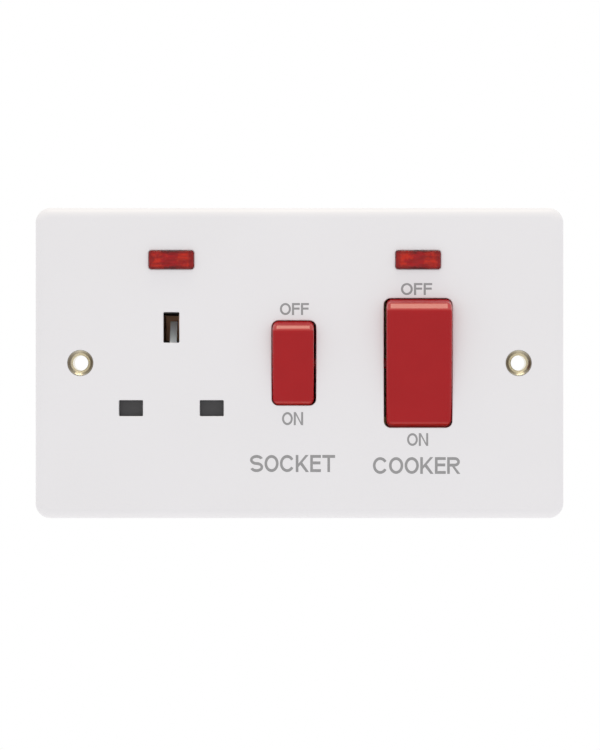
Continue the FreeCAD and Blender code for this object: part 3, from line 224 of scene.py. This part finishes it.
def turn_sleeve(side):
    """Pale brass, polished round the bore by screws and tarnished outside it, and painted darker at the two
    sides as a painted reflection.
    """
    name = f"{side}_fixing_sleeve"
    brass = streaked_brass(f"{side}_pale_brass", roughness=0.15)
    middle = middle_of(name)
    across = brass.distance("X", middle.x)
    up = brass.distance("Z", middle.z)
    radius = (across * across + up * up) ** 0.5
    worn = brass.fade(radius, polished_radius, tarnished_radius)
    sideways = abs(across) / radius
    # Painted reflection: outside the bore the rim is darker at its two sides than at its top and bottom.
    tarnish_and_painted_reflection = worn * (least_tarnish + side_painted_reflection * sideways) + patchy_tarnish * brass.noise(0.001)
    brass.shade("Base Color", brass.mix(tarnish_and_painted_reflection, rim_bright, rim_dull))
    brass.paint(name)


turn_sleeve("left")
turn_sleeve("right")


# Printing: the words on the plate are pad printed in grey ink, flush with the face.
# Each letter is plain block strokes of one width, laid out on a cap height of 1 and fitted to its place.
ink_thickness = 0.00003
sleeve_sink = 0.0001
plate_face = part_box("left_fixing_sleeve")[0].y - sleeve_sink
ink = Finish("grey_ink", ior=1.45)
ink.mottle(patch=0.0008, base=(0.28, 0.275, 0.28), drift=(0.34, 0.335, 0.34))
ink.roughen(patch=0.0006, least=0.50, spread=0.15)
stroke = 0.17
slant_stroke = 0.20
letter_gap = 0.09
letter_widths = {"C": 0.95, "E": 0.70, "F": 0.66, "K": 0.86, "N": 0.80, "O": 0.92, "R": 0.84, "S": 0.86,
                 "T": 0.84}
bend_steps = 28
corner_gap = 0.001


def straight_stroke(shape, *corners):
    """A stroke with four corners, given in turn."""
    shape.faces.new([shape.verts.new((x, y, 0)) for x, y in corners])


def stem(shape, left, right, *levels):
    """An upright stroke, cut at each level where the corner of another stroke joins it."""
    for low, high in zip(levels, levels[1:]):
        straight_stroke(shape, (left, low), (right, low), (right, high), (left, high))


def arm(shape, low, high, *stops):
    """A level stroke, cut at each stop along it."""
    for left, right in zip(stops, stops[1:]):
        straight_stroke(shape, (left, low), (right, low), (right, high), (left, high))


def round_stroke(shape, centre, half_width, half_height, start, sweep):
    """A stroke bent along an oval, from a start angle through a sweep in degrees."""
    sides = []
    for inset in (0, stroke):
        tip = shape.verts.new(Matrix.Rotation(math.radians(start), 3, "Z") @ Vector((1, 0, 0)))
        bmesh.ops.spin(shape, geom=[tip], cent=(0, 0, 0), axis=(0, 0, 1), angle=math.radians(sweep),
                       steps=bend_steps, use_merge=sweep == 360)
        side = [edge for edge in shape.edges if edge.is_wire and edge not in sides]
        points = list(dict.fromkeys(vertex for edge in side for vertex in edge.verts))
        bmesh.ops.scale(shape, verts=points, vec=(half_width - inset, half_height - inset, 1))
        bmesh.ops.translate(shape, verts=points, vec=(*centre, 0))
        sides += side
    bmesh.ops.bridge_loops(shape, edges=sides)


def draw_round_letter(shape, letter, width):
    """O and C are one bend each, and S is two that meet in the middle."""
    middle = width / 2
    if letter == "O":
        round_stroke(shape, (middle, 0.5), middle, 0.5, start=0, sweep=360)
    if letter == "C":
        round_stroke(shape, (middle, 0.5), middle, 0.5, start=32, sweep=296)
    if letter == "S":
        bend = 0.25 + stroke / 4
        round_stroke(shape, (middle, 1 - bend), middle, bend, start=20, sweep=250)
        round_stroke(shape, (middle, bend), middle, bend, start=200, sweep=250)


def draw_e_or_f(shape, letter, width):
    """A stem with an arm at the top and a shorter one at the waist, and for E one at the foot."""
    waist, top = 0.45, 1 - stroke
    waist_arm_end = 0.95 * width
    feet = [0, stroke] if letter == "E" else [0]
    stem(shape, 0, stroke, *feet, waist, waist + stroke, top, 1)
    arm(shape, top, 1, stroke, width)
    arm(shape, waist, waist + stroke, stroke, waist_arm_end)
    if letter == "E":
        arm(shape, 0, stroke, stroke, width)


def draw_k(shape, width):
    """A stem, an upper arm that starts on it, and a leg that hangs from the middle of that arm."""
    crotch, waist = 0.29, 0.49
    leg_start, leg_end = 0.19, 0.38
    arm_end = width - 0.02
    under, over = [], []
    for share in (0, leg_start, leg_end, 1):
        under.append(Vector((stroke, crotch)).lerp(Vector((arm_end, 1)), share))
        over.append(Vector((stroke, waist)).lerp(Vector((arm_end - slant_stroke, 1)), share))
    stem(shape, 0, stroke, 0, crotch, waist, 1)
    for step in range(3):
        straight_stroke(shape, under[step], under[step + 1], over[step + 1], over[step])
    straight_stroke(shape, under[1], (width - slant_stroke, 0), (width, 0), under[2])


def draw_n(shape, width):
    """Two stems, and a slant from the top of the first to the foot of the second."""
    slant_height = 0.22
    inner = width - stroke
    stem(shape, 0, stroke, 0, 1 - slant_height, 1)
    straight_stroke(shape, (stroke, 1 - slant_height), (inner, 0), (inner, slant_height), (stroke, 1))
    stem(shape, inner, width, 0, slant_height, 1)


def draw_r(shape, width):
    """A stem, a bowl of two arms and a bend, and a leg below the end of the lower arm."""
    waist, top = 0.44, 1 - stroke
    bend = 0.58 * width
    bowl_end = width - 0.02
    foot_end = width + 0.01
    stem(shape, 0, stroke, 0, waist, waist + stroke, top, 1)
    arm(shape, top, 1, stroke, bend)
    arm(shape, waist, waist + stroke, stroke, bend - stroke, bend)
    round_stroke(shape, (bend, (1 + waist) / 2), bowl_end - bend, (1 - waist) / 2, start=-90, sweep=180)
    straight_stroke(shape, (bend - stroke, waist), (foot_end - slant_stroke, 0), (foot_end, 0), (bend, waist))


def draw_t(shape, width):
    """A stem in the middle, under one arm."""
    top = 1 - stroke
    left, right = (width - stroke) / 2, (width + stroke) / 2
    stem(shape, left, right, 0, top)
    arm(shape, top, 1, 0, left, right, width)


def draw_letter(shape, letter, width):
    """Draws one capital with its left foot at the origin."""
    if letter in "COS":
        draw_round_letter(shape, letter, width)
    if letter in "EF":
        draw_e_or_f(shape, letter, width)
    if letter == "K":
        draw_k(shape, width)
    if letter == "N":
        draw_n(shape, width)
    if letter == "R":
        draw_r(shape, width)
    if letter == "T":
        draw_t(shape, width)


def add_piece(name, shape, finish):
    """Turns a finished bmesh into an object of the scene."""
    mesh = bpy.data.meshes.new(name)
    shape.to_mesh(mesh)
    shape.free()
    mesh.materials.append(finish.material)
    piece = bpy.data.objects.new(name, mesh)
    bpy.context.scene.collection.objects.link(piece)
    return piece


def print_word(name, text, left, right, low, high):
    """Prints a word on the plate, fitted to its left, right, low and high edges."""
    word = bmesh.new()
    reach = 0
    for letter in text:
        width = letter_widths[letter]
        drawn = set(word.verts)
        draw_letter(word, letter, width)
        bmesh.ops.translate(word, verts=[v for v in word.verts if v not in drawn], vec=(reach, 0, 0))
        reach += width + letter_gap
    bmesh.ops.remove_doubles(word, verts=word.verts[:], dist=corner_gap)
    word.normal_update()
    bmesh.ops.reverse_faces(word, faces=[face for face in word.faces if face.normal.z < 0])
    bmesh.ops.solidify(word, geom=word.faces[:], thickness=1)
    fit = Matrix.Diagonal(((right - left) / (reach - letter_gap), high - low, ink_thickness, 1))
    stand = Matrix.Rotation(math.pi / 2, 4, "X")
    place = Matrix.Translation((left, plate_face - ink_thickness / 2, low))
    bmesh.ops.transform(word, matrix=place @ stand @ fit, verts=word.verts[:])
    printed = add_piece(name, word, ink)
    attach(printed, "housing")


print_word("socket_off_word", "OFF", left=-0.0054, right=0.0026, low=0.0132, high=0.0165)
print_word("socket_on_word", "ON", left=-0.0048, right=0.0010, low=-0.0171, high=-0.0135)
print_word("socket_word", "SOCKET", left=-0.0136, right=0.0098, low=-0.0300, high=-0.0253)
print_word("cooker_off_word", "OFF", left=0.0279, right=0.0365, low=0.0187, high=0.0220)
print_word("cooker_on_word", "ON", left=0.0296, right=0.0354, low=-0.0228, high=-0.0193)
print_word("cooker_word", "COOKER", left=0.0202, right=0.0442, low=-0.0305, high=-0.0259)


# Rockers: dark red mouldings with bevelled ends, hollow behind and carried on stub axles.
# The face is smooth and satin, and the bevels that fingers press are rubbed shinier, with a warmer, lighter
# red painted on them as a painted highlight.
painted_highlight_red = (0.45, 0.009, 0.005)
bevel_blend = 0.0006
bevel_shine = 0.95


def joint_named(name):
    return next(joint for joint in frame["joints"] if joint["name"] == name)


def mould_rocker(switch, bevel_start, bevel_end):
    """Red with the slight mottle of a coloured moulding, a coat of shine on the two bevels, and a painted
    highlight of warmer, lighter red on them.

    Each bevel runs between those two distances from the pivot, measured along the rocker's face."""
    red = Finish(f"{switch}_red_moulding", ior=1.5, specular_ior_level=0.22, coat_roughness=0.28)
    moulded_red = red.mottled(patch=0.006, base=(0.40, 0.008, 0.011), drift=(0.36, 0.006, 0.009))
    red.roughen(patch=0.003, least=0.18, spread=0.10)
    red.grain(red.noise(0.0006, detail=3.0), depth=0.000006)
    tilt = joint_named(f"{switch}_rocker_tilt")
    lean = math.radians(tilt["range_deg"][1] / 2)
    depth = red.distance("Y", tilt["pos_m"][1])
    height = red.distance("Z", tilt["pos_m"][2])
    along_face = abs(math.cos(lean) * height - math.sin(lean) * depth)
    rubbed_and_painted_highlight = red.fade(along_face, bevel_start - bevel_blend, bevel_start)
    spared = red.fade(along_face, bevel_end, bevel_end + bevel_blend)
    bevels = rubbed_and_painted_highlight * (1 - spared)
    # Painted highlight: the bevels are coloured a warmer, lighter red than the face.
    red.shade("Base Color", red.mix(bevels, moulded_red, painted_highlight_red))
    red.shade("Coat Weight", bevel_shine * bevels)
    red.paint(f"{switch}_rocker")


mould_rocker("cooker", bevel_start=0.0159, bevel_end=0.0171)
mould_rocker("socket", bevel_start=0.0102, bevel_end=0.0109)


# Plungers and springs: natural nylon plungers slide in the rockers on drawn steel springs.
# They push the contact arms over as the rocker tips.
switches = ("cooker", "socket")
poles = ("live", "neutral")
weld_gap = 0.0000001
nylon = Finish("natural_nylon", ior=1.53, subsurface_weight=0.15)
nylon.mottle(patch=0.004, base=(0.76, 0.73, 0.66), drift=(0.70, 0.67, 0.60))
nylon.roughen(patch=0.001, least=0.42, spread=0.12)
steel_wire = Finish("spring_steel", metallic=1.0)
steel_wire.mottle(patch=0.001, base=(0.56, 0.56, 0.57), drift=(0.44, 0.44, 0.46))
steel_wire.roughen(patch=0.0004, least=0.26, spread=0.18)


def wind_coil(spring, body, joint_name):
    """A coil in place of a spring's solid, carried by the body it rides on."""
    joint = joint_named(joint_name)
    lengthwise = -Vector(joint["axis"])
    coil = bmesh.new()
    coil.from_mesh(nodes[spring].data)
    bmesh.ops.remove_doubles(coil, verts=coil.verts[:], dist=weld_gap)
    for face in coil.faces:
        face.smooth = True
    reach = [vertex.co.dot(lengthwise) for vertex in coil.verts]
    fixed_end, length = min(reach), max(reach) - min(reach)
    pressed = 1 - joint["range_m"][1] / length
    wound = add_piece(f"{spring}_coil", coil, steel_wire)
    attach(wound, body)
    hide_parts(spring)
    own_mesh(wound)


for switch in switches:
    for pole in poles:
        nylon.paint(f"{switch}_{pole}_plunger")
        wind_coil(f"{switch}_{pole}_spring", f"{switch}_rocker", f"{switch}_{pole}_plunger_slide")


# Contact arms and tips: each pole has a brass arm that rocks on the edge of a fulcrum strip.
# The domed tips are riveted silver, a little tarnished.
works_brass = streaked_brass("stamped_brass", roughness=0.24)
works_brass.mottle(patch=0.003, base=(0.78, 0.60, 0.28), drift=(0.62, 0.45, 0.19))
silver = Finish("silver_tip", metallic=1.0)
silver.mottle(patch=0.0012, base=(0.86, 0.85, 0.83), drift=(0.70, 0.67, 0.62))
silver.roughen(patch=0.0005, least=0.22, spread=0.20)
for switch in switches:
    for pole in poles:
        works_brass.paint(f"{switch}_{pole}_arm", f"{switch}_{pole}_fulcrum")
        silver.paint(f"{switch}_{pole}_arm_tip", f"{switch}_{pole}_fixed_tip")


# Socket contacts: folded bronze strips with sprung jaws that close on the pins of a plug.
# They are brown from the rolling mill. The links to the switches and the earth strap are brass.
bronze = streaked_brass("brown_bronze", roughness=0.40)
bronze.mottle(patch=0.003, base=(0.76, 0.48, 0.31), drift=(0.60, 0.36, 0.23))
bronze.paint("live_pin_contact", "neutral_pin_contact", "earth_pin_contact")
works_brass.paint("neutral_link", "live_link", "earth_strap", "earth_link", "cooker_live_load_strip",
                  "cooker_neutral_load_strip")


# Shutter: a dark grey nylon slide that closes the two lower apertures from behind.
# Its white ramp stands in the upper aperture, and a steel spring lifts it back.
slate = Finish("slate_nylon", ior=1.53)
slate.mottle(patch=0.003, base=(0.062, 0.059, 0.062), drift=(0.050, 0.048, 0.050))
slate.roughen(patch=0.001, least=0.45, spread=0.12)
slate.paint("shutter")
ramp_nylon = Finish("white_nylon", ior=1.53, subsurface_weight=0.15)
ramp_nylon.mottle(patch=0.003, base=(0.86, 0.85, 0.83), drift=(0.80, 0.79, 0.76))
ramp_nylon.roughen(patch=0.001, least=0.40, spread=0.12)
ramp_nylon.paint("shutter_ramp")
wind_coil("shutter_spring", "housing", "shutter_slide")


# Neon lenses: clear red caps with bevelled edges that snap into the plate above each switch.
# The light breaks up in them, so the red runs in paler and darker patches and streaks.
lens_half_width = 0.00615
lens_half_height = 0.0025
lens_red = (0.51, 0.006, 0.009)
lens_orange = (0.70, 0.025, 0.006)
lens_streak = (0.24, 0.003, 0.004)
lens_end = (0.27, 0.003, 0.007)
lens_edge = (0.13, 0.003, 0.004)
patch_wander = 1.8
end_wander = 0.3
edge_wander = 0.4
streak_strength = 0.65
end_strength = 0.75
flank_relief = 0.45


def tint_lens(switch):
    """Tints one lens red, more orange on its flanks and darker towards its ends, top and bottom."""
    lens = Finish(f"{switch}_red_lens", ior=1.49, roughness=0.08, transmission_weight=0.3,
                  specular_ior_level=0.18)
    middle = middle_of(f"{switch}_neon_lens")
    sideways = abs(lens.distance("X", middle.x) / lens_half_width)
    upwards = abs(lens.distance("Z", middle.z) / lens_half_height)
    drawn_out = lens.noise(0.0011, vector=lens.stretched((0.25, 1.0, 1.0)))
    streaks = lens.node("MapRange", inputs={"Value": drawn_out, "From Min": 0.38, "From Max": 0.62})
    wander = patch_wander * (lens.noise(0.0013) - 0.5)
    flanks = lens.fade(sideways + wander, start=0.25, end=0.60)
    ends = lens.fade(sideways + end_wander * wander, start=0.70, end=0.90)
    edges = lens.fade(upwards + edge_wander * wander, start=0.62, end=0.92)
    tint = lens.mix(flanks, lens_red, lens_orange)
    tint = lens.mix(streak_strength * streaks, tint, lens_streak)
    tint = lens.mix(end_strength * ends, tint, lens_end)
    tint = lens.mix(edges * (1 - flank_relief * flanks), tint, lens_edge)
    lens.shade("Base Color", tint)
    lens.paint(f"{switch}_neon_lens")


for switch in switches:
    tint_lens(switch)


# Neon lamps: a small glass bulb behind each lens, with two short metal rods side by side in it.
# Bent, tinned leads join each lamp to a lacquered resistor with colour bands.
glass = Finish("lamp_glass", ior=1.5, transmission_weight=1.0, base_color=(0.96, 0.95, 0.93))
glass.roughen(patch=0.002, least=0.02, spread=0.04)
body_tan = (0.50, 0.36, 0.20)
band_brown = (0.20, 0.07, 0.03)
band_black = (0.03, 0.03, 0.03)
band_yellow = (0.60, 0.42, 0.05)
band_gold = (0.55, 0.38, 0.10)
colour_bands = [(0.00, body_tan), (0.20, band_brown), (0.28, body_tan), (0.36, band_black), (0.44, body_tan),
                (0.52, band_yellow), (0.60, body_tan), (0.76, band_gold), (0.84, body_tan)]
resistor_low, resistor_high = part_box("cooker_neon_resistor")
lacquer = Finish("resistor_lacquer", ior=1.5)
along_body = lacquer.distance("Y", resistor_low.y) / (resistor_high.y - resistor_low.y)
lacquer.shade("Base Color", lacquer.node("ValToRGB", {"bands": colour_bands}, {"Fac": along_body}))
lacquer.roughen(patch=0.001, least=0.30, spread=0.10)
tinned = Finish("tinned_lead", metallic=1.0)
tinned.mottle(patch=0.001, base=(0.72, 0.71, 0.69), drift=(0.58, 0.57, 0.55))
tinned.roughen(patch=0.0005, least=0.30, spread=0.20)
rod_radius = 0.0003
rod_length = 0.0044
rod_offset = Vector((0.0004, 0, 0.00055))
rod_rounding = 0.0001
sharp_angle = 1


def add_electrodes(switch):
    """Two short rods, one a little above and beyond the other, with rounded ends."""
    middle = middle_of(f"{switch}_neon_lamp")
    turn = Matrix.Rotation(math.pi / 2, 4, "Y")
    shape = bmesh.new()
    for side in (-1, 1):
        spot = Matrix.Translation(middle + side * rod_offset)
        bmesh.ops.create_cone(shape, cap_ends=True, segments=16, radius1=rod_radius, radius2=rod_radius,
                              depth=rod_length, matrix=spot @ turn)
    rims = [edge for edge in shape.edges if edge.calc_face_angle(0) > sharp_angle]
    bmesh.ops.bevel(shape, geom=rims, offset=rod_rounding, segments=2, profile=0.5, affect="EDGES",
                    material=-1)
    rods = add_piece(f"{switch}_lamp_electrodes", shape, tinned)
    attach(rods, "housing")


for switch in switches:
    glass.paint(f"{switch}_neon_lamp")
    lacquer.paint(f"{switch}_neon_resistor")
    tinned.paint(f"{switch}_neon_leads")
    add_electrodes(switch)


# Terminals: solid brass blocks with a tunnel for the wire and two clamping screws each.
# The screws are zinc plated steel with a driver slot, like those that hold the base on.
terminal_brass = streaked_brass("milled_brass", roughness=0.28)
terminal_brass.mottle(patch=0.003, base=(0.80, 0.63, 0.30), drift=(0.66, 0.49, 0.21))
terminal_brass.paint("load_live_terminal", "load_neutral_terminal", "supply_live_terminal",
                     "supply_neutral_terminal", "earth_terminal")
zinc = Finish("zinc_plate", metallic=1.0)
zinc.mottle(patch=0.002, base=(0.68, 0.68, 0.68), drift=(0.56, 0.56, 0.57))
zinc.roughen(patch=0.0006, least=0.27, spread=0.16)
zinc.grain(zinc.noise(0.0004), depth=0.000006)
zinc.paint("terminal_screws", "base_screws")


# Rear base: a deep tray pressed in black thermoset that carries the works behind the plate.
# The back is dull, with a fine grain from the powder that it is pressed from.
base_black = (0.020, 0.020, 0.021)
base_speck = (0.048, 0.047, 0.048)
black = Finish("black_thermoset", ior=1.55)
speckle = black.noise(0.0003, detail=4.0)
black.shade("Base Color", black.mix(speckle, base_black, base_speck))
black.roughen(patch=0.002, least=0.42, spread=0.20)
black.grain(speckle, depth=0.000015)
black.paint("rear_base")


# Studio: a pale floor well below the unit, a white surround and one soft lamp overhead.
# The camera stands square to the plate, a little below its middle.
floor_drop = 0.6
floor_size = 1.4
floor_paint = Finish("pale_floor", roughness=0.9, base_color=(0.85, 0.85, 0.85), emission_color=(1, 1, 1),
                     emission_strength=0.25)
floor_shape = bmesh.new()
bmesh.ops.create_grid(floor_shape, x_segments=1, y_segments=1, size=floor_size / 2,
                      matrix=Matrix.Translation((0, 0, -floor_drop)))
floor = add_piece("floor", floor_shape, floor_paint)

light_level = 0.93
seen_level = 1.0
world = bpy.data.worlds.new("studio")
bpy.context.scene.world = world
world.use_nodes = True
world_nodes, world_links = world.node_tree.nodes, world.node_tree.links
surround = world_nodes["Background"]
surround.inputs["Color"].default_value = (1, 1, 1, 1)
path = world_nodes.new("ShaderNodeLightPath")
seen = path.outputs["Is Camera Ray"]
for ray in ("Is Glossy Ray", "Is Transmission Ray"):
    either = world_nodes.new("ShaderNodeMath")
    either.operation = "MAXIMUM"
    world_links.new(seen, either.inputs[0])
    world_links.new(path.outputs[ray], either.inputs[1])
    seen = either.outputs[0]
level = world_nodes.new("ShaderNodeMapRange")
level.inputs["To Min"].default_value = light_level
level.inputs["To Max"].default_value = seen_level
world_links.new(seen, level.inputs["Value"])
world_links.new(level.outputs[0], surround.inputs["Strength"])

warm_white = (1.0, 0.91, 0.70)
lamp_spot = Vector((0, -0.063, 0.6))
lamp = bpy.data.lights.new("overhead_softbox", "AREA")
lamp.shape = "RECTANGLE"
lamp.size = 0.42
lamp.size_y = 0.12
lamp.energy = 0.85
lamp.color = warm_white
softbox = bpy.data.objects.new("overhead_softbox", lamp)
facing = (-lamp_spot).to_track_quat("-Z", "Y").to_matrix().to_4x4()
softbox.matrix_world = Matrix.Translation(lamp_spot) @ facing
bpy.context.scene.collection.objects.link(softbox)

camera_distance = 0.900
camera_right = 0.00014
camera_drop = 0.0033
pixels_per_metre = 3635
photo_long_side = 750
camera_data = bpy.data.cameras.new("camera")
camera_data.sensor_width = 36
camera_data.lens = camera_data.sensor_width * pixels_per_metre * camera_distance / photo_long_side
camera_data.clip_start = 0.05
camera_data.clip_end = 50
camera = bpy.data.objects.new("camera", camera_data)
camera.location = (camera_right, plate_face - camera_distance, -camera_drop)
camera.rotation_euler = (math.pi / 2, 0, 0)
bpy.context.scene.collection.objects.link(camera)
bpy.context.scene.camera = camera
bpy.context.scene.view_settings.view_transform = "Standard"

bpy.context.view_layer.update()
